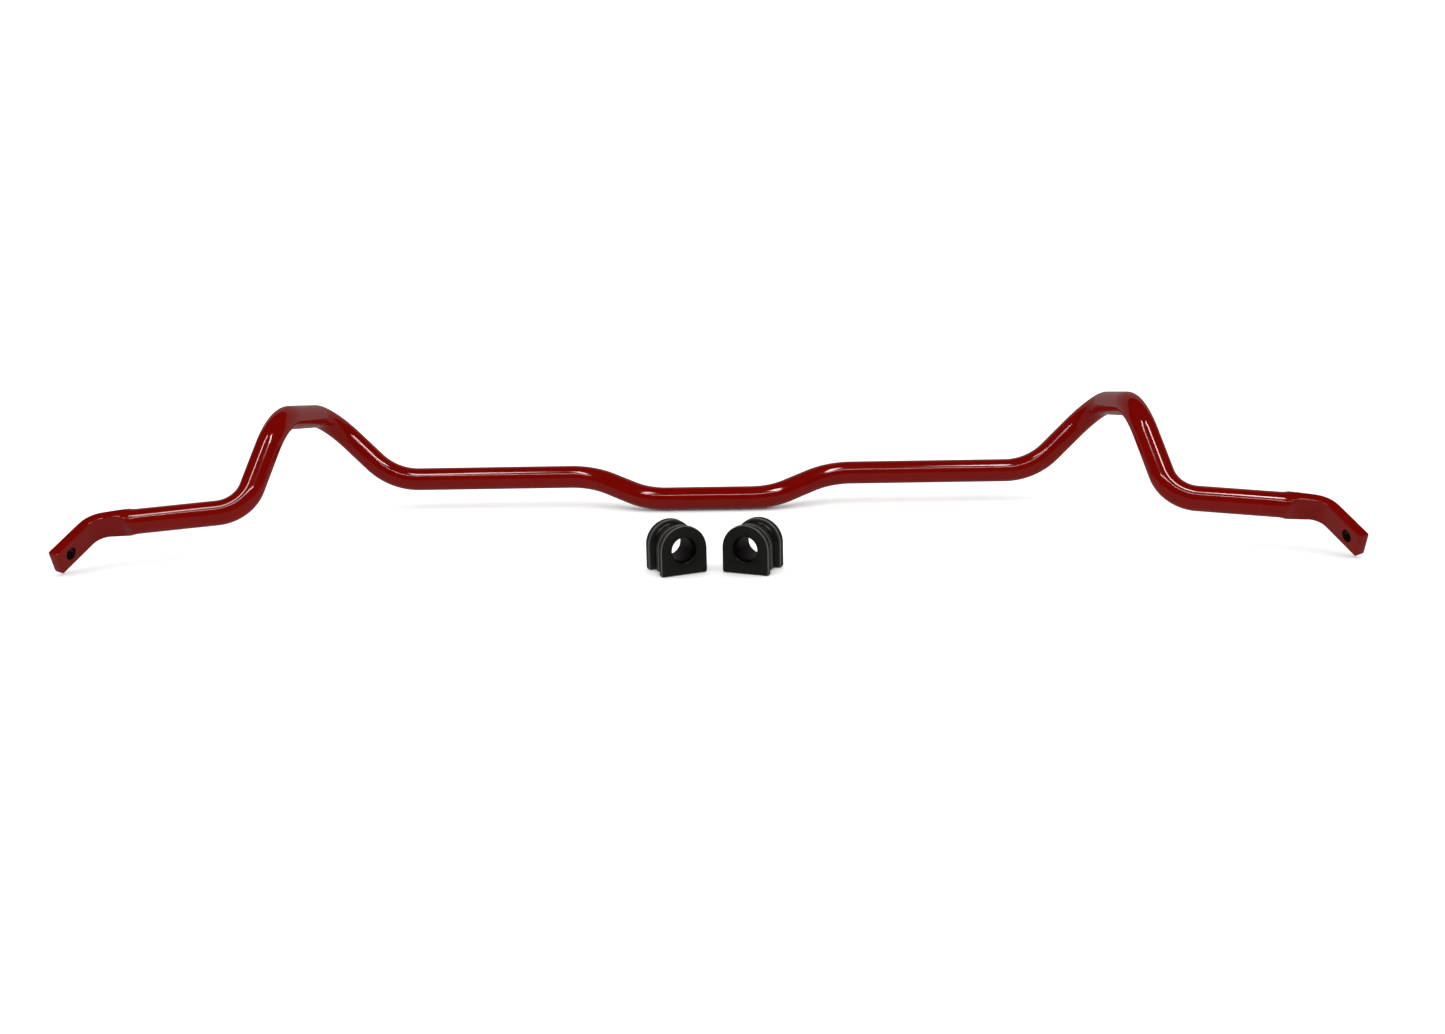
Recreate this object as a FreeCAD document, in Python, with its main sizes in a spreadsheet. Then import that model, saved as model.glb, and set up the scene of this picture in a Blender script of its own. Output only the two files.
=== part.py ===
import FreeCAD, Part
import math
import os

import Sketcher

# Rear anti-roll (sway) bar with its two D-shaped bushes, millimetres.
# One forged bar, mirror-symmetric about the YZ plane, lies on the floor on its
# centre stretch, with the lower corners of its two flattened eyes a millimetre or
# two clear. The bushes stand on their flat bases in front of it. The origin
# is on the floor, under the middle of the whole object. +X runs along the bar, +Y
# to its back, +Z up.

Vector = FreeCAD.Vector
doc = FreeCAD.newDocument("sway_bar")

# Driving dimensions. "out" is the distance from the middle plane along X, "back"
# the distance behind the centre stretch, "up" the height above its axis.
DIMENSIONS = [
    ("bar_diameter", 22.0),
    ("axis_back", 101.9),
    # corners of the bent axis, where the straight runs would meet
    ("centre_out", 60.0),
    ("seat_inner_out", 117.0),
    ("seat_outer_out", 316.0),
    ("seat_back", 32.2),
    ("seat_up", 16.6),
    ("crest_rear_out", 381.0),
    ("crest_rear_back", 39.1),
    ("crest_rear_up", 81.0),
    ("crest_front_out", 382.0),
    ("crest_front_back", -100.1),
    ("crest_front_up", 101.2),
    ("knee_out", 402.0),
    ("knee_back", -154.6),
    ("knee_up", 29.0),
    ("blade_out", 523.2),
    ("blade_back", -181.3),
    ("blade_up", 23.1),
    # bend radii on the axis, from the middle outwards
    ("centre_radius", 65.0),
    ("seat_radius", 75.0),
    ("leg_radius", 62.0),
    ("crest_rear_radius", 36.0),
    ("crest_front_radius", 50.0),
    ("knee_radius", 33.0),
    # flattened ends
    ("blade_width", 22.6),
    ("blade_thickness", 9.0),
    ("blade_radius", 20.0),
    ("blade_sweep", 67.0),
    ("blade_dive", 26.8),
    ("blade_length", 49.5),
    ("flat_run", 30.4),
    ("scoop_radius", 14.0),
    ("blade_edge", 1.5),
    ("eye_diameter", 10.5),
    ("eye_inset", 14.2),
    # bushes
    ("bush_bore", 21.0),
    ("bush_width", 40.5),
    ("bush_base_drop", 20.5),
    ("bush_length", 34.0),
    ("front_flange", 4.5),
    ("groove_length", 4.0),
    ("groove_depth", 2.5),
    ("rib_length", 4.0),
    ("rib_inset", 0.8),
    ("base_relief", 2.5),
    ("rear_flange", 6.5),
    ("saddle_depth", 4.5),
    ("flange_edge", 1.0),
    ("bore_chamfer", 0.5),
    # places of the bushes on the floor
    ("left_bush_out", -19.0),
    ("right_bush_out", 44.2),
    ("bush_back", -227.1),
    ("left_bush_yaw", 26.0),
    ("right_bush_yaw", 22.0),
]

# how far a cutting outline stands clear of the metal it takes away
CLEARANCE = 2.0

sheet = doc.addObject("Spreadsheet::Sheet", "Dimensions")
for row, (alias, value) in enumerate(DIMENSIONS, start=1):
    sheet.set("A%d" % row, alias)
    sheet.set("B%d" % row, str(value))
    sheet.setAlias("B%d" % row, alias)
doc.recompute()


def size(alias):
    """The value of one driving dimension."""
    return float(sheet.get(alias))


def unit(vector):
    """A copy of the vector, one millimetre long."""
    return Vector(vector).normalize()


def bar_corner(name, sign):
    """A corner of the bent axis on the left (sign -1) or right (sign +1) side."""
    rise = size(name + "_up") + size("bar_diameter") / 2
    return Vector(sign * size(name + "_out"), size(name + "_back") + size("axis_back"), rise)


def centre_corner(sign):
    """The end of the straight centre stretch, which lies on the floor."""
    return Vector(sign * size("centre_out"), size("axis_back"), size("bar_diameter") / 2)


def seat_corner(end, sign):
    """An end of the straight stretch that carries a bush."""
    rise = size("seat_up") + size("bar_diameter") / 2
    return Vector(sign * size(end + "_out"), size("seat_back") + size("axis_back"), rise)


def half_axis(sign):
    """Corners of one half of the bar's axis, from the middle to the blade."""
    return [
        centre_corner(sign),
        seat_corner("seat_inner", sign),
        seat_corner("seat_outer", sign),
        bar_corner("crest_rear", sign),
        bar_corner("crest_front", sign),
        bar_corner("knee", sign),
        bar_corner("blade", sign),
    ]


def bend_wire(corners, radii):
    """Straight runs through the corners, joined by tangent arcs."""
    edges = []
    start = corners[0]
    for index, radius in enumerate(radii, start=1):
        corner = corners[index]
        inward = unit(corner - corners[index - 1])
        outward = unit(corners[index + 1] - corner)
        turn = inward.getAngle(outward)
        setback = radius * math.tan(turn / 2)
        middle = unit(outward - inward)
        depth = radius / math.cos(turn / 2) - radius
        first = corner - inward * setback
        last = corner + outward * setback
        edges.append(Part.LineSegment(start, first).toShape())
        edges.append(Part.Arc(first, corner + middle * depth, last).toShape())
        start = last
    edges.append(Part.LineSegment(start, corners[-1]).toShape())
    return Part.Wire(edges)


def blade_frame(sign):
    """The blade's corner and its directions: run in, run out, and height.

    The flat is bent the easy way, about its own height, and the run out dives until
    the eye's lower corner nearly touches the floor.
    """
    corner = bar_corner("blade", sign)
    run_in = unit(corner - bar_corner("knee", sign))
    sweep = math.radians(size("blade_sweep"))
    dive = math.radians(size("blade_dive"))
    run_out = Vector(
        sign * math.cos(sweep) * math.cos(dive),
        -math.sin(sweep) * math.cos(dive),
        -math.sin(dive),
    )
    height = unit(run_in.cross(run_out))
    if height.z < 0:
        height = height * -1
    return corner, run_in, run_out, height


def round_end(sign):
    """Where the round stretch runs out into the flat."""
    corner, run_in, _, _ = blade_frame(sign)
    return corner - run_in * size("flat_run")


def make_axis():
    """The bar's bent axis, from one flat to the other, which no primitive can give."""
    left = half_axis(-1)
    right = half_axis(1)
    left[-1] = round_end(-1)
    right[-1] = round_end(1)
    half_radii = [
        size("centre_radius"),
        size("seat_radius"),
        size("leg_radius"),
        size("crest_rear_radius"),
        size("crest_front_radius"),
        size("knee_radius"),
    ]
    radii = list(reversed(half_radii[1:])) + [half_radii[0], half_radii[0]] + half_radii[1:]
    axis = doc.addObject("Part::Feature", "bar_axis")
    axis.Shape = bend_wire(list(reversed(left)) + right, radii)
    return axis


def bind(thing, path, expression):
    """Bind one property of an object to the sheet, whose names stand in braces."""
    for alias, _ in DIMENSIONS:
        expression = expression.replace("{%s}" % alias, "Dimensions." + alias)
    thing.setExpression(path, expression)


def origin_plane(body, role):
    """One of the body's own origin planes."""
    for feature in body.Origin.OriginFeatures:
        if feature.Role == role:
            return feature
    raise RuntimeError("no plane " + role)


def new_sketch(body, role, name):
    """An empty sketch on one of the body's origin planes."""
    sketch = body.newObject("Sketcher::SketchObject", name)
    sketch.AttachmentSupport = [(origin_plane(body, role), "")]
    sketch.MapMode = "FlatFace"
    return sketch


def new_pad(body, name, sketch, length, midplane=False):
    """A pad of the sketch, its length an expression of the sheet."""
    pad = body.newObject("PartDesign::Pad", name)
    pad.Profile = sketch
    bind(pad, "Length", length)
    if midplane:
        pad.SideType = "Symmetric"


def new_pocket(body, name, sketch, length, midplane=False):
    """A pocket of the sketch that must take material away."""
    doc.recompute()
    before = body.Shape.Volume
    pocket = body.newObject("PartDesign::Pocket", name)
    pocket.Profile = sketch
    bind(pocket, "Length", length)
    if midplane:
        pocket.SideType = "Symmetric"
    doc.recompute()
    if body.Shape.Volume > before - 1.0:
        raise RuntimeError(name + " cuts nothing")


def round_edges(body, kind, name, chosen, expression):
    """A fillet or chamfer of the edges of the body's tip that the test picks."""
    doc.recompute()
    base = body.Tip
    names = ["Edge%d" % number for number, edge in enumerate(base.Shape.Edges, 1) if chosen(edge)]
    if not names:
        raise RuntimeError(name + " finds no edges")
    dress = body.newObject("PartDesign::" + kind, name)
    dress.Base = (base, names)
    bind(dress, "Radius" if kind == "Fillet" else "Size", expression)
    doc.recompute()


def in_plane(edge, axis, place):
    """Whether the edge lies in the plane where the given coordinate is place."""
    box = edge.BoundBox
    low, high = {"y": (box.YMin, box.YMax), "z": (box.ZMin, box.ZMax)}[axis]
    return abs(low - place) < 0.01 and abs(high - place) < 0.01


# ---- the bar ----

def frame_placement(point, x_axis, z_axis):
    """A placement with its own X and Z along the given directions."""
    y_axis = unit(z_axis.cross(x_axis))
    x_axis = unit(x_axis)
    z_axis = unit(z_axis)
    matrix = FreeCAD.Matrix(
        x_axis.x, y_axis.x, z_axis.x, point.x,
        x_axis.y, y_axis.y, z_axis.y, point.y,
        x_axis.z, y_axis.z, z_axis.z, point.z,
        0, 0, 0, 1,
    )
    return FreeCAD.Placement(matrix)


def make_round_bar():
    """The round stretch: a circle swept along the bent axis."""
    axis = make_axis()
    circle = doc.addObject("Part::Circle", "bar_section")
    bind(circle, "Radius", "{bar_diameter} / 2")
    first = axis.Shape.Edges[0]
    start = first.Vertexes[0].Point
    along = first.tangentAt(first.FirstParameter)
    circle.Placement = FreeCAD.Placement(start, FreeCAD.Rotation(Vector(0, 0, 1), along))
    sweep = doc.addObject("Part::Sweep", "round_bar")
    sweep.Sections = [circle]
    sweep.Spine = (axis, ["Edge%d" % number for number in range(1, len(axis.Shape.Edges) + 1)])
    sweep.Solid = True
    sweep.Frenet = False
    return sweep


def scoop_run():
    """Length over which the round stretch runs down to the flat."""
    depth = size("bar_diameter") / 2 - size("blade_thickness") / 2
    return math.sqrt(size("scoop_radius") ** 2 - (size("scoop_radius") - depth) ** 2)


def add_stub(body):
    """The last of the round stretch, which the two scoops then cut into."""
    sketch = new_sketch(body, "YZ_Plane", "stub_section")
    sketch.AttachmentOffset = FreeCAD.Placement(Vector(0, 0, -size("flat_run")), FreeCAD.Rotation())
    sketch.addGeometry(Part.Circle(Vector(), Vector(0, 0, 1), size("bar_diameter") / 2))
    sketch.addConstraint(Sketcher.Constraint("Coincident", 0, 3, -1, 1))
    sketch.addConstraint(Sketcher.Constraint("Diameter", 0, size("bar_diameter")))
    bind(sketch, "Constraints[1]", "{bar_diameter}")
    depth = "({bar_diameter} - {blade_thickness}) / 2"
    new_pad(body, "stub", sketch, "sqrt({scoop_radius}^2 - ({scoop_radius} - %s)^2)" % depth)


def add_scoops(body):
    """Concave run-outs from the round stretch down to the two flat faces."""
    half = size("blade_thickness") / 2
    radius = size("bar_diameter") / 2
    start = -size("flat_run")
    end = start + scoop_run()
    beyond = end + CLEARANCE
    outside = radius + CLEARANCE
    sketch = new_sketch(body, "XY_Plane", "scoop_outline")
    for side in (1, -1):
        middle = Vector(end, side * (half + size("scoop_radius")), 0)
        towards = unit(Vector(start, side * radius, 0) + Vector(end, side * half, 0) - middle * 2)
        corners = [
            Vector(end, side * half, 0),
            Vector(beyond, side * half, 0),
            Vector(beyond, side * outside, 0),
            Vector(start, side * outside, 0),
            Vector(start, side * radius, 0),
        ]
        for first, last in zip(corners, corners[1:]):
            sketch.addGeometry(Part.LineSegment(first, last))
        through = middle + towards * size("scoop_radius")
        sketch.addGeometry(Part.Arc(corners[-1], through, corners[0]))
    new_pocket(body, "scoops", sketch, "{bar_diameter} * 2", midplane=True)


def add_strip(body, run_out):
    """The flat strip: straight, bent the easy way, and straight again to its end."""
    half = size("blade_thickness") / 2
    turn = math.atan2(run_out.y, run_out.x)
    side = math.copysign(1, turn)
    turn = abs(turn)
    radius = size("blade_radius")
    setback = radius * math.tan(turn / 2)
    start = -size("flat_run") + scoop_run() / 2
    sketch = new_sketch(body, "XY_Plane", "strip_outline")

    def at(along, across):
        """A point beside the strip's middle line, on the run out."""
        return Vector(
            along * math.cos(turn) - across * math.sin(turn),
            side * (along * math.sin(turn) + across * math.cos(turn)),
            0,
        )

    def edge_points(across):
        """Start, bend and end of the strip's edge at a distance from its middle."""
        bend = radius - across
        centre = Vector(-setback, side * radius, 0)
        middle = centre + Vector(math.sin(turn / 2), -side * math.cos(turn / 2), 0) * bend
        return [
            Vector(start, side * across, 0),
            Vector(-setback, side * across, 0),
            middle,
            at(setback, across),
            at(size("blade_length"), across),
        ]

    inner = edge_points(half)
    outer = edge_points(-half)
    sketch.addGeometry(Part.LineSegment(inner[0], inner[1]))
    sketch.addGeometry(Part.Arc(inner[1], inner[2], inner[3]))
    sketch.addGeometry(Part.LineSegment(inner[3], inner[4]))
    sketch.addGeometry(Part.LineSegment(inner[4], outer[4]))
    sketch.addGeometry(Part.LineSegment(outer[4], outer[3]))
    sketch.addGeometry(Part.Arc(outer[3], outer[2], outer[1]))
    sketch.addGeometry(Part.LineSegment(outer[1], outer[0]))
    sketch.addGeometry(Part.LineSegment(outer[0], inner[0]))
    new_pad(body, "strip", sketch, "{blade_width}", midplane=True)


def make_blade():
    """The right-hand flattened end, in the frame of its own bend."""
    corner, run_in, run_out, height = blade_frame(1)
    placement = frame_placement(corner, run_in, height)
    shoulder = doc.addObject("PartDesign::Body", "right_shoulder")
    add_stub(shoulder)
    add_scoops(shoulder)
    shoulder.Placement = placement
    strip = doc.addObject("PartDesign::Body", "right_strip")
    add_strip(strip, placement.inverse().Rotation.multVec(run_out))
    half = size("blade_width") / 2

    def long_edge(edge):
        """An edge of the strip's top or bottom."""
        return in_plane(edge, "z", half) or in_plane(edge, "z", -half)

    round_edges(strip, "Fillet", "strip_rounding", long_edge, "{blade_edge}")
    strip.Placement = placement
    blade = doc.addObject("Part::MultiFuse", "right_blade")
    blade.Shapes = [shoulder, strip]
    return blade


def make_eye_drill():
    """A cylinder across the right-hand blade, where the link bolt goes."""
    corner, run_in, run_out, height = blade_frame(1)
    middle = corner + run_out * (size("blade_length") - size("eye_inset"))
    across = unit(height.cross(run_out))
    drill = doc.addObject("Part::Cylinder", "right_eye_drill")
    bind(drill, "Radius", "{eye_diameter} / 2")
    bind(drill, "Height", "{blade_thickness} * 3")
    base = middle - across * (size("blade_thickness") * 1.5)
    drill.Placement = FreeCAD.Placement(base, FreeCAD.Rotation(Vector(0, 0, 1), across))
    return drill


def mirrored(source, name):
    """The same thing on the other side of the middle plane."""
    mirror = doc.addObject("Part::Mirroring", name)
    mirror.Source = source
    mirror.Normal = Vector(1, 0, 0)
    return mirror


def make_bar():
    """The whole forged bar as one solid."""
    right_blade = make_blade()
    left_blade = mirrored(right_blade, "left_blade")
    blank = doc.addObject("Part::MultiFuse", "bar_blank")
    blank.Shapes = [make_round_bar(), left_blade, right_blade]
    blank.Refine = True
    right_drill = make_eye_drill()
    left_drill = mirrored(right_drill, "left_eye_drill")
    drills = doc.addObject("Part::MultiFuse", "eye_drills")
    drills.Shapes = [left_drill, right_drill]
    bar = doc.addObject("Part::Cut", "sway_bar")
    bar.Base = blank
    bar.Tool = drills
    bar.Label = "sway_bar"
    return bar


# ---- the bushes ----

def d_sketch(body, name, place, inset, relief):
    """A D outline about the bore, in the plane where local Y has the given place."""
    sketch = new_sketch(body, "XZ_Plane", name)
    bind(sketch, "AttachmentOffset.Base.z", "-(%s)" % place)
    radius = size("bush_width") / 2
    drop = size("bush_base_drop")
    arc = Part.ArcOfCircle(Part.Circle(Vector(), Vector(0, 0, 1), radius), 0, math.pi)
    sketch.addGeometry(arc)
    sketch.addGeometry(Part.LineSegment(Vector(-radius, 0, 0), Vector(-radius, -drop, 0)))
    sketch.addGeometry(Part.LineSegment(Vector(-radius, -drop, 0), Vector(radius, -drop, 0)))
    sketch.addGeometry(Part.LineSegment(Vector(radius, -drop, 0), Vector(radius, 0, 0)))
    sketch.addConstraint([
        Sketcher.Constraint("Coincident", 0, 3, -1, 1),
        Sketcher.Constraint("PointOnObject", 0, 1, -1),
        Sketcher.Constraint("PointOnObject", 0, 2, -1),
        Sketcher.Constraint("Coincident", 0, 2, 1, 1),
        Sketcher.Constraint("Coincident", 1, 2, 2, 1),
        Sketcher.Constraint("Coincident", 2, 2, 3, 1),
        Sketcher.Constraint("Coincident", 3, 2, 0, 1),
        Sketcher.Constraint("Vertical", 1),
        Sketcher.Constraint("Vertical", 3),
        Sketcher.Constraint("Horizontal", 2),
    ])
    arc_radius = sketch.addConstraint(Sketcher.Constraint("Radius", 0, radius))
    base_drop = sketch.addConstraint(Sketcher.Constraint("DistanceY", 2, 1, -1, 1, drop))
    bind(sketch, "Constraints[%d]" % arc_radius, "{bush_width} / 2 - %s" % inset)
    bind(sketch, "Constraints[%d]" % base_drop, "{bush_base_drop} - %s" % relief)
    return sketch


# Each layer of a bush: name, rear face, length, side inset and base relief.
LAYERS = [
    ("core", "{bush_length} / 2", "{bush_length}", "{saddle_depth}", "{base_relief}"),
    (
        "groove",
        "{front_flange} + {groove_length} - {bush_length} / 2",
        "{groove_length}",
        "{groove_depth}",
        "{base_relief}",
    ),
    (
        "rib",
        "{front_flange} + {groove_length} + {rib_length} - {bush_length} / 2",
        "{rib_length}",
        "{rib_inset}",
        "{base_relief}",
    ),
    ("front_flange", "{front_flange} - {bush_length} / 2", "{front_flange}", "0", "0"),
    ("rear_flange", "{bush_length} / 2", "{rear_flange}", "0", "0"),
]


def make_bush(name, turn):
    """One bush about its own bore: two flanges, a rib and a saddle between them."""
    body = doc.addObject("PartDesign::Body", name)
    body.Label = name
    for layer, place, length, inset, relief in LAYERS:
        sketch = d_sketch(body, layer + "_outline", place, inset, relief)
        new_pad(body, layer, sketch, length)
    bore = new_sketch(body, "XZ_Plane", "bore_outline")
    bore.addGeometry(Part.Circle(Vector(), Vector(0, 0, 1), size("bush_bore") / 2))
    bore.addConstraint(Sketcher.Constraint("Coincident", 0, 3, -1, 1))
    bore.addConstraint(Sketcher.Constraint("Diameter", 0, size("bush_bore")))
    bind(bore, "Constraints[1]", "{bush_bore}")
    new_pocket(body, "bore", bore, "{bush_length} * 2", midplane=True)
    half = size("bush_length") / 2
    radius = size("bush_bore") / 2

    def end_edge(edge):
        """An edge of one of the two end faces."""
        return in_plane(edge, "y", half) or in_plane(edge, "y", -half)

    def mouth(edge):
        """A mouth of the bore."""
        return end_edge(edge) and abs(edge.BoundBox.XMax - radius) < 0.01

    def rim(edge):
        """The outer edge of an end face."""
        return end_edge(edge) and not mouth(edge)

    round_edges(body, "Chamfer", "bore_mouths", mouth, "{bore_chamfer}")
    round_edges(body, "Fillet", "flange_rims", rim, "{flange_edge}")
    bind(body, "Placement.Base.x", "{%s_out}" % name)
    bind(body, "Placement.Base.y", "{axis_back} + {bush_back}")
    bind(body, "Placement.Base.z", "{bush_base_drop}")
    bind(body, "Placement.Rotation.Angle", "%d * {%s_yaw}" % (turn, name))
    return body


SUB_PARTS = [
    make_bar(),
    make_bush("left_bush", 1),
    make_bush("right_bush", -1),
]
doc.recompute()

for thing in doc.Objects:
    if "Invalid" in thing.State or "Error" in thing.State:
        raise RuntimeError("failed: %s %s" % (thing.Name, thing.State))
for part in SUB_PARTS:
    if part.Shape.isNull() or not part.Shape.isValid() or len(part.Shape.Solids) != 1:
        raise RuntimeError("bad shape: " + part.Label)

os.makedirs("parts", exist_ok=True)
for part in SUB_PARTS:
    part.Shape.exportStep("parts/" + part.Label + ".step")
    print(part.Label, "%.0f mm3" % part.Shape.Volume, part.Shape.BoundBox)
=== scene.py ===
import math

import bmesh
import bpy
from mathutils import Matrix, Vector


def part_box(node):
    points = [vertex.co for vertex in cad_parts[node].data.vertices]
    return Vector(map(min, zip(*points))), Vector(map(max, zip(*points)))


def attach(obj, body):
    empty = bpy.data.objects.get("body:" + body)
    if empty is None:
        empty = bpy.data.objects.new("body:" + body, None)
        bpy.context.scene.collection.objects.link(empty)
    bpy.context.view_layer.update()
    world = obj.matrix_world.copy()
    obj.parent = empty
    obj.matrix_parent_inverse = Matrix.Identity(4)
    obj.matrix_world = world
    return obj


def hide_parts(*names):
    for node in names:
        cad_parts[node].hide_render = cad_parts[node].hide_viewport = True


# Sway bar with its two D bushes: the looks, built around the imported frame. Sizes of the
# object are in millimetres, as designed, and become metres in the mesh; the studio's are
# in metres.

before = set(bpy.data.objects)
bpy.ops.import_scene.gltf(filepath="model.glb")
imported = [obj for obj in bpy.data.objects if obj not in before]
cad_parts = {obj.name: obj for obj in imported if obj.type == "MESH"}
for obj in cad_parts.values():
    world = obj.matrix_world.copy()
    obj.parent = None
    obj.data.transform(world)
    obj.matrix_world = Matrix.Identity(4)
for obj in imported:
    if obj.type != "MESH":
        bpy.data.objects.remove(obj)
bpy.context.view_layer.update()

MM = 0.001

# ---- sizes of the bar, as designed ----

BAR_RADIUS = 11.0
AXIS_BACK = 101.9
# corners of the bent axis: out from the middle, behind the centre stretch, above its axis
CENTRE = (60.0, 0.0, 0.0)
SEAT_INNER = (117.0, 32.2, 16.6)
SEAT_OUTER = (316.0, 32.2, 16.6)
CREST_REAR = (381.0, 39.1, 81.0)
CREST_FRONT = (382.0, -100.1, 101.2)
KNEE = (402.0, -154.6, 29.0)
BLADE = (523.2, -181.3, 23.1)
# bend radii on the axis, one for each of these corners
BEND_RADII = (65.0, 75.0, 62.0, 36.0, 50.0, 33.0, 20.0)

# the flattened ends, called blades: which way they run, in degrees forwards from +X and
# downwards, and then their lengths
BLADE_SWEEP = 67.0
BLADE_DIVE = 26.8
BLADE_LENGTH = 49.5
BLADE_WIDTH = 22.6
BLADE_THICKNESS = 9.0
FLAT_RUN = 30.4
SCOOP_RADIUS = 14.0
EYE_RADIUS = 5.25
EYE_INSET = 14.2

# ---- what the forging adds to the bar ----

# how far the shoulder before the blade swells, up and down
SHOULDER_SWELL = 0.9
# how much deeper than a circle the oval behind the blade's two faces is, so that only
# the rounded top and bottom of the blade show it
BLADE_BULGE = 19.0
# rounding of the blade's end
TIP_EDGE = 0.8
# chamfer of the eyes' mouths
EYE_CHAMFER = 0.4
# exponents of the rounded corners of a blade's section and of a bush's base
BLADE_SHARPNESS = 14.0
BASE_SHARPNESS = 36.0

# ---- sizes of a bush ----

BORE_RADIUS = 10.5
BORE_CHAMFER = 0.5
BUSH_HALF_WIDTH = 20.25
BUSH_DROP = 20.5
BUSH_LENGTH = 34.0
FRONT_FLANGE = 4.5
GROOVE_LENGTH = 4.0
GROOVE_DEPTH = 2.5
RIB_LENGTH = 4.0
RIB_INSET = 0.8
BASE_RELIEF = 2.5
REAR_FLANGE = 6.5
SADDLE_DEPTH = 4.5
# out from the middle and turn about the upright, in degrees
BUSH_PLACES = {"left_bush": (-19.0, 26.0), "right_bush": (44.2, -22.0)}
# behind the centre stretch of the bar
BUSH_BACK = -227.1


# ---- mesh helpers ----

def smoothstep(low, high, value):
    """0 below low, 1 above high, and a smooth rise between."""
    share = min(max((value - low) / (high - low), 0.0), 1.0)
    return share * share * (3.0 - 2.0 * share)


def rounded_route(corners, radii, run_step, turn_step):
    """Points and directions along straight runs joined by tangent arcs.

    The points are about run_step apart on the runs and turn_step degrees on the arcs.
    """
    points = []
    start = corners[0]

    def add_run(first, last):
        """The points of one straight run, without its last."""
        length = (last - first).length
        count = max(1, round(length / run_step))
        direction = (last - first).normalized()
        for index in range(count):
            points.append((first.lerp(last, index / count), direction))

    for index, radius in enumerate(radii, start=1):
        corner = corners[index]
        inward = (corner - corners[index - 1]).normalized()
        outward = (corners[index + 1] - corner).normalized()
        turn = inward.angle(outward)
        setback = radius * math.tan(turn / 2)
        first = corner - inward * setback
        add_run(start, first)
        side = (outward - inward * math.cos(turn)).normalized()
        centre = first + side * radius
        count = max(2, math.ceil(math.degrees(turn) / turn_step))
        for step in range(count):
            angle = turn * step / count
            place = centre + (inward * math.sin(angle) - side * math.cos(angle)) * radius
            direction = inward * math.cos(angle) + side * math.sin(angle)
            points.append((place, direction))
        start = corner + outward * setback
    add_run(start, corners[-1])
    points.append((corners[-1], (corners[-1] - start).normalized()))
    return points


def new_object(name, mesh_data):
    """A finished bmesh as an object of the scene."""
    mesh = bpy.data.meshes.new(name)
    mesh_data.to_mesh(mesh)
    mesh_data.free()
    piece = bpy.data.objects.new(name, mesh)
    bpy.context.scene.collection.objects.link(piece)
    return piece


def shade(piece, angle):
    """Smooth faces, with the edges that turn by more than the angle left sharp."""
    mesh_data = bmesh.new()
    mesh_data.from_mesh(piece.data)
    bmesh.ops.recalc_face_normals(mesh_data, faces=mesh_data.faces)
    for face in mesh_data.faces:
        face.smooth = True
    for edge in mesh_data.edges:
        edge.smooth = len(edge.link_faces) == 2 and edge.calc_face_angle() < math.radians(angle)
    mesh_data.to_mesh(piece.data)
    mesh_data.free()


def bridge(mesh_data, rings, closed_ends=True):
    """Faces between successive rings of as many points each, and caps on the two ends."""
    count = len(rings[0])
    for near, far in zip(rings, rings[1:]):
        for index in range(count):
            after = (index + 1) % count
            mesh_data.faces.new((near[index], near[after], far[after], far[index]))
    if closed_ends:
        mesh_data.faces.new(reversed(rings[0]))
        mesh_data.faces.new(rings[-1])


# ---- the bar ----

def bar_point(corner):
    """A corner of the bar's axis in the frame, right-hand side."""
    out, back, rise = corner
    return Vector((out, back + AXIS_BACK, rise + BAR_RADIUS))


def ring_angles():
    """Angles round the bar's section from its top, closer together at top and bottom.

    The edges of the blade come there, within 33 degrees to either side.
    """
    fine = [-33.0 + 1.5 * step for step in range(45)]
    coarse = [38.0 + 5.0 * step for step in range(22)]
    half = fine + coarse
    return [math.radians(angle + turn) for turn in (0.0, 180.0) for angle in half]


def section_radius(angle, height, depth, slab):
    """Distance from the section's middle to its outline.

    The outline is an oval of the given half height and half depth, cut by a slab of
    half thickness slab, with the corners rounded off. The angle is from the top.
    """
    across = abs(math.cos(angle))
    through = abs(math.sin(angle))
    oval = math.sqrt((across / height) ** 2 + (through / depth) ** 2)
    if slab is None:
        return 1.0 / oval
    total = oval ** BLADE_SHARPNESS + (through / slab) ** BLADE_SHARPNESS
    return total ** (-1.0 / BLADE_SHARPNESS)


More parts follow.
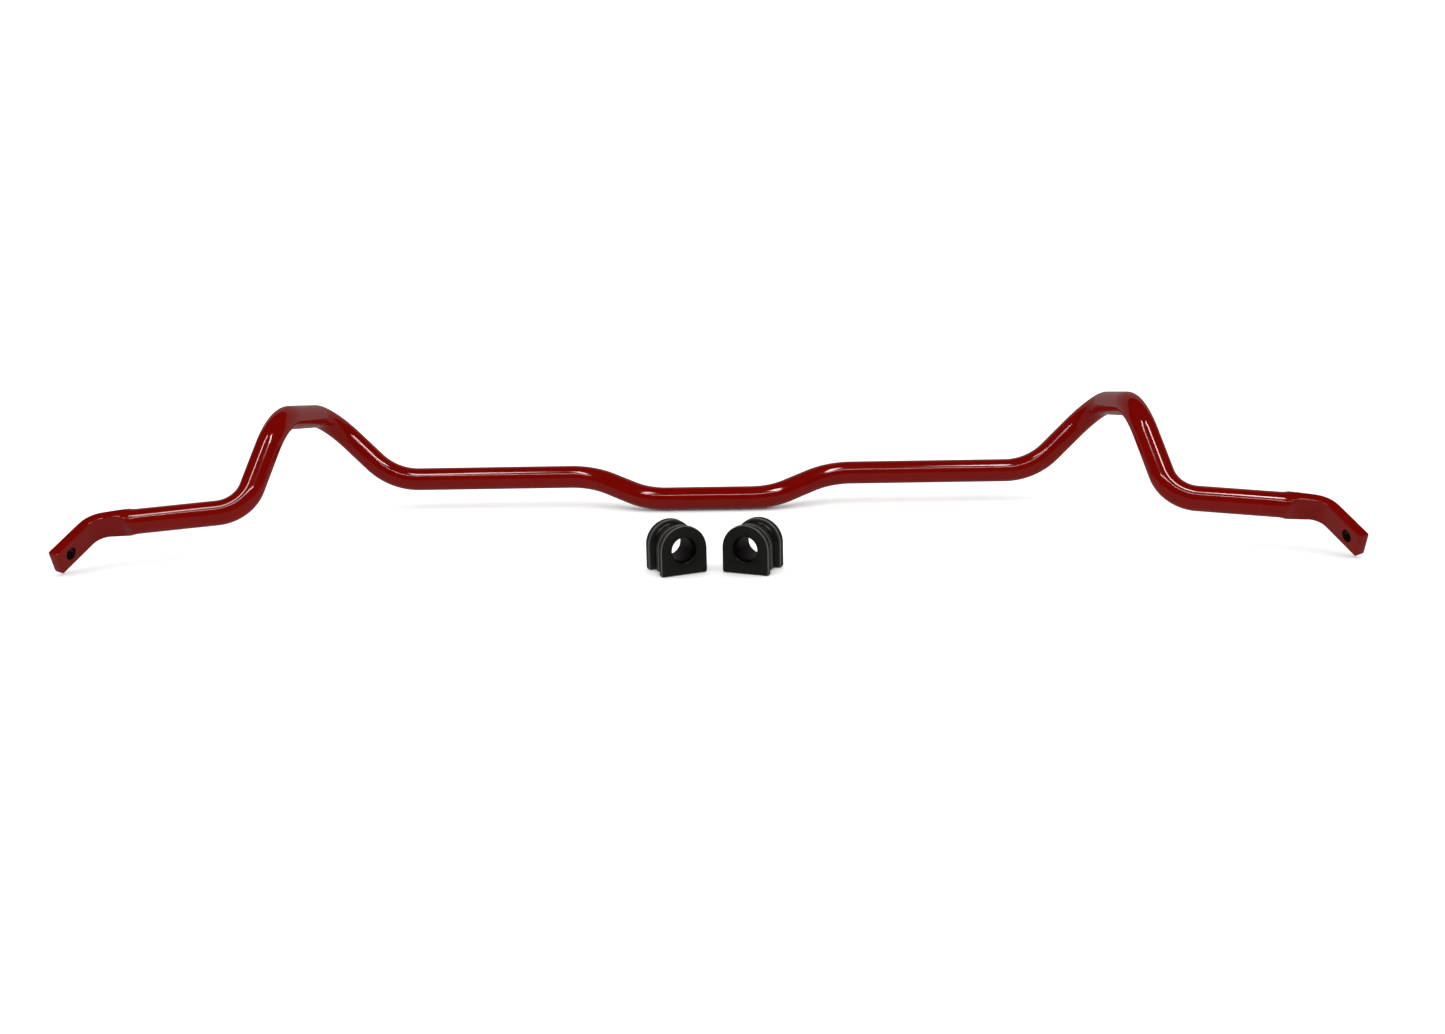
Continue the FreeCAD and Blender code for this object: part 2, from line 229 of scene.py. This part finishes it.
def make_bar():
    """The forged bar, one half lofted along its axis and mirrored.

    Gives the bar and the middle of its right eye, in metres.
    """
    sweep = math.radians(BLADE_SWEEP)
    dive = math.radians(BLADE_DIVE)
    run_out = Vector((
        math.cos(sweep) * math.cos(dive),
        -math.sin(sweep) * math.cos(dive),
        -math.sin(dive),
    ))
    corners = [Vector((0.0, AXIS_BACK, BAR_RADIUS))]
    for corner in (CENTRE, SEAT_INNER, SEAT_OUTER, CREST_REAR, CREST_FRONT, KNEE, BLADE):
        corners.append(bar_point(corner))
    tip = corners[-1] + run_out * BLADE_LENGTH
    corners.append(tip)
    run_in = (corners[-2] - corners[-3]).normalized()
    height = run_in.cross(run_out).normalized()
    if height.z < 0.0:
        height.negate()
    route = rounded_route(corners, BEND_RADII, 3.0, 3.0)

    # distance of each point along the route, and of the place where the flat begins
    flat_start = corners[-2] - run_in * FLAT_RUN
    scoop_depth = BAR_RADIUS - BLADE_THICKNESS / 2
    scoop_run = math.sqrt(SCOOP_RADIUS ** 2 - (SCOOP_RADIUS - scoop_depth) ** 2)
    lengths = [0.0]
    for (first, _), (last, _) in zip(route, route[1:]):
        lengths.append(lengths[-1] + (last - first).length)
    nearest = min(range(len(route)), key=lambda index: (route[index][0] - flat_start).length)
    flat_at = lengths[nearest] + (flat_start - route[nearest][0]).dot(route[nearest][1]) + scoop_run

    # the flat's height is carried back along the axis without twisting
    heights = [None] * len(route)
    carried = height
    for index in range(len(route) - 1, -1, -1):
        direction = route[index][1]
        carried = (carried - direction * carried.dot(direction)).normalized()
        heights[index] = carried

    mesh_data = bmesh.new()
    angles = ring_angles()
    rings = []

    def add_ring(place, direction, up, station, shrink):
        """One ring of the loft; shrink takes it in all round, for the rounded end."""
        past = station - flat_at
        slab = None
        if -past < SCOOP_RADIUS - 0.3:
            rise = SCOOP_RADIUS - math.sqrt(SCOOP_RADIUS ** 2 - min(past, 0.0) ** 2)
            slab = BLADE_THICKNESS / 2 + rise - shrink
        flatness = smoothstep(-scoop_run - 4.0, 6.0, past)
        swell = smoothstep(-scoop_run, -3.0, past) * (1.0 - smoothstep(-3.0, 10.0, past))
        widening = (BLADE_WIDTH / 2 - BAR_RADIUS) * flatness + SHOULDER_SWELL * swell
        half_height = BAR_RADIUS + widening - shrink
        half_depth = BAR_RADIUS + BLADE_BULGE * flatness
        side = direction.cross(up)
        ring = []
        for angle in angles:
            radius = section_radius(angle, half_height, half_depth, slab)
            point = place + up * (radius * math.cos(angle)) + side * (radius * math.sin(angle))
            ring.append(mesh_data.verts.new(point * MM))
        rings.append(ring)

    for (place, direction), up, station in zip(route, heights, lengths):
        if station > lengths[-1] - TIP_EDGE:
            break
        add_ring(place, direction, up, station, 0.0)
    for step in range(4):
        turn = math.radians(90.0) * step / 3
        back = TIP_EDGE * (1.0 - math.sin(turn))
        shrink = TIP_EDGE * (1.0 - math.cos(turn))
        add_ring(tip - run_out * back, run_out, height, lengths[-1] - back, shrink)
    bridge(mesh_data, rings, closed_ends=False)
    mesh_data.faces.new(rings[-1])
    half = list(mesh_data.verts) + list(mesh_data.edges) + list(mesh_data.faces)
    other = bmesh.ops.duplicate(mesh_data, geom=half)["geom"]
    for vertex in (item for item in other if isinstance(item, bmesh.types.BMVert)):
        vertex.co.x = -vertex.co.x
    bmesh.ops.remove_doubles(mesh_data, verts=mesh_data.verts, dist=1e-6)
    bmesh.ops.recalc_face_normals(mesh_data, faces=mesh_data.faces)
    bar = new_object("bar", mesh_data)

    across = height.cross(run_out).normalized()
    eye = tip - run_out * EYE_INSET
    drill_eyes(bar, eye * MM, across)
    shade(bar, 40.0)
    return bar, eye * MM


def drill_eyes(bar, eye, across):
    """Cuts the two link eyes, each with a small chamfer at its mouths."""
    reach = 7.0
    chamfer_at = BLADE_THICKNESS / 2 - EYE_CHAMFER
    profile = [
        (-reach, EYE_RADIUS + reach - chamfer_at),
        (-chamfer_at, EYE_RADIUS),
        (chamfer_at, EYE_RADIUS),
        (reach, EYE_RADIUS + reach - chamfer_at),
    ]
    cutter_data = bmesh.new()
    for sign in (1, -1):
        centre = Vector((eye.x * sign, eye.y, eye.z))
        axis = Vector((across.x * sign, across.y, across.z))
        first = axis.orthogonal().normalized()
        second = axis.cross(first)
        rings = []
        for along, radius in profile:
            ring = []
            for step in range(64):
                angle = math.tau * step / 64
                spoke = first * math.cos(angle) + second * math.sin(angle)
                ring.append(cutter_data.verts.new(centre + (axis * along + spoke * radius) * MM))
            rings.append(ring)
        bridge(cutter_data, rings)
    bmesh.ops.recalc_face_normals(cutter_data, faces=cutter_data.faces)
    cutter = new_object("eye_cutter", cutter_data)
    cut = bar.modifiers.new("eyes", "BOOLEAN")
    cut.operation = "DIFFERENCE"
    cut.solver = "EXACT"
    cut.object = cutter
    graph = bpy.context.evaluated_depsgraph_get()
    drilled = bpy.data.meshes.new_from_object(bar.evaluated_get(graph))
    bar.modifiers.clear()
    bar.data = drilled
    bpy.data.objects.remove(cutter)


# ---- the bushes ----

def bush_radius(angle, inset, relief):
    """Distance from the bore's axis to the D outline, at an angle from the side."""
    half_width = BUSH_HALF_WIDTH - inset
    if math.sin(angle) >= 0.0:
        return half_width
    side = abs(math.cos(angle)) / half_width
    base = -math.sin(angle) / (BUSH_DROP - relief)
    return (side ** BASE_SHARPNESS + base ** BASE_SHARPNESS) ** (-1.0 / BASE_SHARPNESS)


def bush_profile():
    """Stations along the bore from the front face, and the way the outline runs there.

    Each station is a place, a side inset and a base relief.
    """
    front = 0.0
    groove = FRONT_FLANGE
    rib = groove + GROOVE_LENGTH
    saddle = rib + RIB_LENGTH
    rear = BUSH_LENGTH - REAR_FLANGE
    back = BUSH_LENGTH
    corners = [
        (front, 3.0, 3.0, 0.0),
        (front, 0.0, 0.0, 1.0),
        (groove, 0.0, 0.0, 0.8),
        (groove, GROOVE_DEPTH, BASE_RELIEF, 0.8),
        (rib, GROOVE_DEPTH, BASE_RELIEF, 0.8),
        (rib, RIB_INSET, BASE_RELIEF - 0.1, 0.7),
        (saddle, RIB_INSET, BASE_RELIEF - 0.1, 0.8),
        (saddle + 0.6, SADDLE_DEPTH, BASE_RELIEF, 2.2),
        (rear - 0.6, SADDLE_DEPTH, BASE_RELIEF, 2.2),
        (rear, 0.0, 0.0, 0.9),
        (back, 0.0, 0.0, 1.0),
        (back, 3.0, 3.0, 0.0),
    ]
    route = [Vector(corner[:3]) for corner in corners]
    radii = [corner[3] for corner in corners[1:-1]]
    return rounded_route(route, radii, 4.0, 15.0)


def make_bush(name):
    """One moulded D bush, its bore along Y until it is turned into place.

    Its vertices carry two shares: one for the painted highlight on the rounded outer edges, and one
    marking the bore, where painted shade goes.
    """
    angles = [math.radians(step * 2.0) for step in range(180)]
    mesh_data = bmesh.new()
    rings = []

    rim_highlight_share = mesh_data.verts.layers.float.new("rim_highlight")
    bore_share = mesh_data.verts.layers.float.new("bore")

    def add_ring(along, radii, rim_highlight, bore):
        """One ring about the bore, at a place along it."""
        ring = []
        for angle, radius in zip(angles, radii):
            across, rise = math.cos(angle) * radius, math.sin(angle) * radius
            vertex = mesh_data.verts.new((across, along - BUSH_LENGTH / 2, rise))
            vertex[rim_highlight_share] = rim_highlight
            vertex[bore_share] = bore
            ring.append(vertex)
        rings.append(ring)

    for (along, inset, relief), direction in bush_profile():
        # share of the painted highlight: most on the rounded edges of the outer faces, where the
        # outline turns through 45 degrees
        rim_highlight = 0.0
        if inset < 1.2:
            rim_highlight = 2.0 * abs(direction.x) * math.hypot(direction.y, direction.z)
        add_ring(along, [bush_radius(angle, inset, relief) for angle in angles], rim_highlight, 0.0)
    soft = 0.25
    mouth = [
        (0.0, BORE_CHAMFER + soft),
        (0.08, BORE_CHAMFER),
        (BORE_CHAMFER, 0.08),
        (BORE_CHAMFER + soft, 0.0),
    ]
    for along, extra in mouth:
        add_ring(BUSH_LENGTH - along, [BORE_RADIUS + extra] * len(angles), 0.0, 1.0 - extra)
    for along, extra in reversed(mouth):
        add_ring(along, [BORE_RADIUS + extra] * len(angles), 0.0, 1.0 - extra)
    bridge(mesh_data, rings + [rings[0]], closed_ends=False)
    out, turn = BUSH_PLACES[name]
    lift = Vector((out, AXIS_BACK + BUSH_BACK, BUSH_DROP))
    place = Matrix.Translation(lift) @ Matrix.Rotation(math.radians(turn), 4, "Z")
    bmesh.ops.transform(mesh_data, matrix=Matrix.Scale(MM, 4) @ place, verts=mesh_data.verts)
    bush = new_object(name + "_moulding", mesh_data)
    shade(bush, 50.0)
    return bush


# ---- materials ----

def new_material(name):
    """A new material, with its node tree and its shader."""
    material = bpy.data.materials.new(name)
    material.use_nodes = True
    tree = material.node_tree
    shader = tree.nodes["Principled BSDF"]
    return material, tree, shader


def noise(tree, scale, detail, roughness=0.5):
    """A noise texture in the object's own coordinates."""
    place = tree.nodes.new("ShaderNodeTexCoord")
    texture = tree.nodes.new("ShaderNodeTexNoise")
    texture.inputs["Scale"].default_value = scale
    texture.inputs["Detail"].default_value = detail
    texture.inputs["Roughness"].default_value = roughness
    tree.links.new(place.outputs["Object"], texture.inputs["Vector"])
    return texture.outputs["Fac"]


def ramp(tree, value, stops):
    """A colour ramp over the value; stops are (place, colour)."""
    node = tree.nodes.new("ShaderNodeValToRGB")
    first, last = node.color_ramp.elements
    first.position, first.color = stops[0][0], (*stops[0][1], 1.0)
    last.position, last.color = stops[-1][0], (*stops[-1][1], 1.0)
    for place, colour in stops[1:-1]:
        node.color_ramp.elements.new(place).color = (*colour, 1.0)
    tree.links.new(value, node.inputs["Fac"])
    return node.outputs["Color"]


def spread(tree, value, low, high):
    """The value's range 0 to 1 spread over low to high."""
    node = tree.nodes.new("ShaderNodeMapRange")
    node.inputs["To Min"].default_value = low
    node.inputs["To Max"].default_value = high
    tree.links.new(value, node.inputs["Value"])
    return node.outputs["Result"]


def bump(tree, shader, value, distance, strength):
    """A bump of the shader's surface, of the given height in metres."""
    node = tree.nodes.new("ShaderNodeBump")
    node.inputs["Distance"].default_value = distance
    node.inputs["Strength"].default_value = strength
    tree.links.new(value, node.inputs["Height"])
    tree.links.new(node.outputs["Normal"], shader.inputs["Normal"])


def share_of(tree, name):
    """A share that the mesh carries at its vertices."""
    node = tree.nodes.new("ShaderNodeAttribute")
    node.attribute_name = name
    return node.outputs["Fac"]


def blend(tree, share, colour, other):
    """The linked colour, turning to the other one with the share."""
    node = tree.nodes.new("ShaderNodeMix")
    node.data_type = "RGBA"
    # the node has sockets of the same name for numbers and vectors; these are the colours'
    first, second, result = node.inputs[6], node.inputs[7], node.outputs[2]
    tree.links.new(share, node.inputs["Factor"])
    tree.links.new(colour, first)
    second.default_value = (*other, 1.0)
    return result


def inside_eyes(tree, eye):
    """1 within either link eye, 0 on the faces around it."""
    place = tree.nodes.new("ShaderNodeTexCoord")
    folded = tree.nodes.new("ShaderNodeVectorMath")
    folded.operation = "ABSOLUTE"
    tree.links.new(place.outputs["Object"], folded.inputs[0])
    apart = tree.nodes.new("ShaderNodeVectorMath")
    apart.operation = "DISTANCE"
    tree.links.new(folded.outputs["Vector"], apart.inputs[0])
    apart.inputs[1].default_value = [abs(value) for value in eye]
    # the eye's wall ends this far from the eye's middle
    reach = math.hypot(EYE_RADIUS, BLADE_THICKNESS / 2) * MM
    near = tree.nodes.new("ShaderNodeMapRange")
    near.inputs["From Min"].default_value = reach + 0.0002
    near.inputs["From Max"].default_value = reach - 0.0002
    tree.links.new(apart.outputs["Value"], near.inputs["Value"])
    return near.outputs["Result"]


def red_paint(eye):
    """Gloss red powder coat, deep red with faint orange peel, and near-black painted shade inside
    the eyes.
    """
    material, tree, shader = new_material("bar_paint")
    clouds = noise(tree, 60.0, 3.0)
    red = ramp(tree, clouds, [(0.3, (0.120, 0.0009, 0.0001)), (0.7, (0.131, 0.0014, 0.0003))])
    # painted shade: the eyes' walls are coloured near black for the shade inside them
    paint = blend(tree, inside_eyes(tree, eye), red, (0.006, 0.0035, 0.003))
    tree.links.new(paint, shader.inputs["Base Color"])
    tree.links.new(spread(tree, noise(tree, 140.0, 2.0), 0.06, 0.10), shader.inputs["Roughness"])
    shader.inputs["Specular IOR Level"].default_value = 0.5
    bump(tree, shader, noise(tree, 500.0, 1.0), 0.00001, 0.4)
    return material


def black_polyurethane():
    """Satin black moulded polyurethane with a fine grain, light painted highlights on its rounded
    rims and dark painted shade in its bore.
    """
    material, tree, shader = new_material("bush_polyurethane")
    black = (0.0045, 0.0045, 0.0036)
    grey = (0.0058, 0.0058, 0.0047)
    tone = ramp(tree, noise(tree, 120.0, 4.0), [(0.3, black), (0.7, grey)])
    # painted highlight: the rounded rims are coloured light grey for the glints along them
    highlighted_rims = blend(tree, share_of(tree, "rim_highlight"), tone, (0.090, 0.093, 0.083))
    # painted shade: the bore is coloured darker than the rest, and below it reflects less, for the
    # shade inside it
    dark = blend(tree, share_of(tree, "bore"), highlighted_rims, (0.0015, 0.0015, 0.0012))
    tree.links.new(dark, shader.inputs["Base Color"])
    tree.links.new(spread(tree, noise(tree, 300.0, 3.0), 0.26, 0.32), shader.inputs["Roughness"])
    gloss = spread(tree, share_of(tree, "bore"), 0.35, 0.06)
    tree.links.new(gloss, shader.inputs["Specular IOR Level"])
    bump(tree, shader, noise(tree, 1500.0, 3.0, 0.6), 0.00001, 0.3)
    return material


def floor_white():
    """Matt white studio floor."""
    material, _, shader = new_material("studio_floor")
    shader.inputs["Base Color"].default_value = (0.95, 0.95, 0.95, 1.0)
    shader.inputs["Roughness"].default_value = 1.0
    shader.inputs["Specular IOR Level"].default_value = 0.0
    return material


# ---- the studio ----

def make_floor():
    """A wide plain floor under everything, which reflections don't see."""
    mesh_data = bmesh.new()
    bmesh.ops.create_circle(mesh_data, cap_ends=True, segments=96, radius=40.0)
    floor = new_object("floor", mesh_data)
    floor.location.z = -0.0002
    floor.data.materials.append(floor_white())
    floor.visible_glossy = False


def make_card(name, corners, radiance):
    """A dim card that only reflections see."""
    mesh_data = bmesh.new()
    mesh_data.faces.new([mesh_data.verts.new(corner) for corner in corners])
    card = new_object(name, mesh_data)
    material, _, shader = new_material(name)
    shader.inputs["Base Color"].default_value = (0.0, 0.0, 0.0, 1.0)
    shader.inputs["Specular IOR Level"].default_value = 0.0
    shader.inputs["Emission Color"].default_value = (1.0, 0.96, 0.94, 1.0)
    shader.inputs["Emission Strength"].default_value = radiance
    card.data.materials.append(material)
    card.visible_camera = False
    card.visible_diffuse = False
    card.visible_shadow = False


def soft_light(name, place, target, size, size_y, power):
    """A rectangular soft box at place, facing target, that only lights reflections."""
    data = bpy.data.lights.new(name, "AREA")
    data.shape = "RECTANGLE"
    data.size = size
    data.size_y = size_y
    data.energy = power
    data.color = (1.0, 0.82, 0.84)
    lamp = bpy.data.objects.new(name, data)
    bpy.context.scene.collection.objects.link(lamp)
    lamp.location = place
    aim = Vector(target) - Vector(place)
    lamp.rotation_euler = aim.to_track_quat("-Z", "Y").to_euler()
    lamp.visible_camera = False
    lamp.visible_diffuse = False


def make_studio():
    """White surroundings, and what the gloss paint mirrors: cards and narrow soft boxes."""
    make_floor()
    wide, back, high, low = 9.0, 6.0, 6.5, -0.01
    floor_corners = [(-wide, -wide, low), (wide, -wide, low), (wide, wide, low), (-wide, wide, low)]
    back_corners = [(-wide, back, low), (wide, back, low), (wide, back, high), (-wide, back, high)]
    make_card("floor_glow", floor_corners, 0.21)
    make_card("back_glow", back_corners, 0.22)
    world = bpy.data.worlds.new("studio")
    bpy.context.scene.world = world
    world.use_nodes = True
    background = world.node_tree.nodes["Background"]
    background.inputs["Color"].default_value = (1.0, 1.0, 1.0, 1.0)
    background.inputs["Strength"].default_value = 1.5
    world.cycles_visibility.glossy = False
    aim = (0.0, 0.0, 0.05)
    soft_light("strip", (0.0, -1.95, 2.15), aim, 3.2, 0.09, 24.0)
    soft_light("left_box", (-0.85, -1.1, 2.3), aim, 0.24, 0.9, 14.0)
    soft_light("right_box", (0.85, -1.1, 2.3), aim, 0.32, 0.9, 24.0)
    bpy.context.scene.view_settings.view_transform = "Standard"


def make_camera():
    """The camera, low in front and a little to the right of the middle.

    Its place, its tilt and its lens are those that the object's outline fits best.
    """
    data = bpy.data.cameras.new("camera")
    data.sensor_width = 36.0
    data.lens = 36.96
    camera = bpy.data.objects.new("camera", data)
    bpy.context.scene.collection.objects.link(camera)
    _, bar_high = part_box("sway_bar")
    camera.location = (0.0585, bar_high.y - 1.4563, 0.3178)
    heading = Matrix.Rotation(math.radians(1.88), 4, "Z")
    tilt = Matrix.Rotation(math.radians(90.0 - 13.02), 4, "X")
    roll = Matrix.Rotation(math.radians(-1.26), 4, "Z")
    camera.rotation_euler = (heading @ tilt @ roll).to_euler()
    bpy.context.scene.camera = camera


# ---- assembly ----

make_camera()
make_studio()

bar, right_eye = make_bar()
bar.data.materials.append(red_paint(right_eye))
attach(bar, "bar")
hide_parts("sway_bar")

polyurethane = black_polyurethane()
for bush_name in BUSH_PLACES:
    bush = make_bush(bush_name)
    bush.data.materials.append(polyurethane)
    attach(bush, bush_name)
    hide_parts(bush_name)

bpy.context.view_layer.update()
